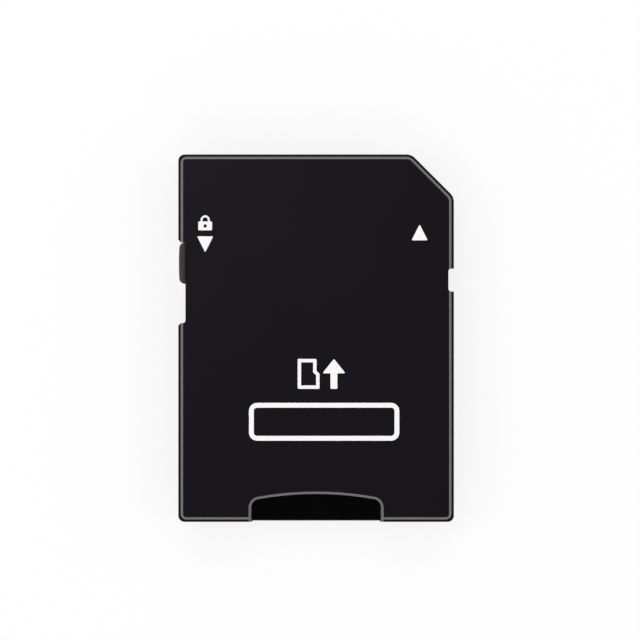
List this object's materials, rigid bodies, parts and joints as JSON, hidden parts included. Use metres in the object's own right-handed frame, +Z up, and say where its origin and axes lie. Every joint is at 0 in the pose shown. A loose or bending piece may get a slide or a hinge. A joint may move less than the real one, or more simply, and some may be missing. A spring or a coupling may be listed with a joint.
{
  "type": "memory card adapter",
  "caption": "Flat black full-size memory card adapter with a cut corner, sliding write lock, thumb recess and an empty slot for a small card.",
  "frame": {"origin": "under the middle of the adapter, on the flat contact side that it lies on", "axes": "+X across the width, to the right when the label side is looked at with the contact end away; +Y along the length towards the contact end; +Z up, out of the label face"},
  "size_m": [0.024, 0.032, 0.0021],
  "materials": {
    "cover_plastic": "black moulded, fine satin texture, white print on the label face",
    "carrier_plastic": "black moulded insulator",
    "contact_metal": "stamped sheet, gold plated",
    "retainer_steel": "rolled stainless spring leaf",
    "slider_plastic": "dark warm grey moulded"
  },
  "bodies": {
    "adapter": {"front_cover": "cover_plastic", "rear_cover": "cover_plastic", "terminal_carrier": "carrier_plastic", "contact_1": "contact_metal", "contact_2": "contact_metal", "contact_3": "contact_metal", "contact_4": "contact_metal", "contact_5": "contact_metal", "contact_6": "contact_metal", "contact_7": "contact_metal", "contact_8": "contact_metal", "contact_9": "contact_metal", "card_retainer": "retainer_steel"},
    "slider": {"lock_slider": "slider_plastic"}
  },
  "joints": [
    {"name": "lock_slide", "type": "slide", "parent": "adapter", "child": "slider", "axis": [0, -1, 0], "range_m": [0, 0.00322]}
  ]
}
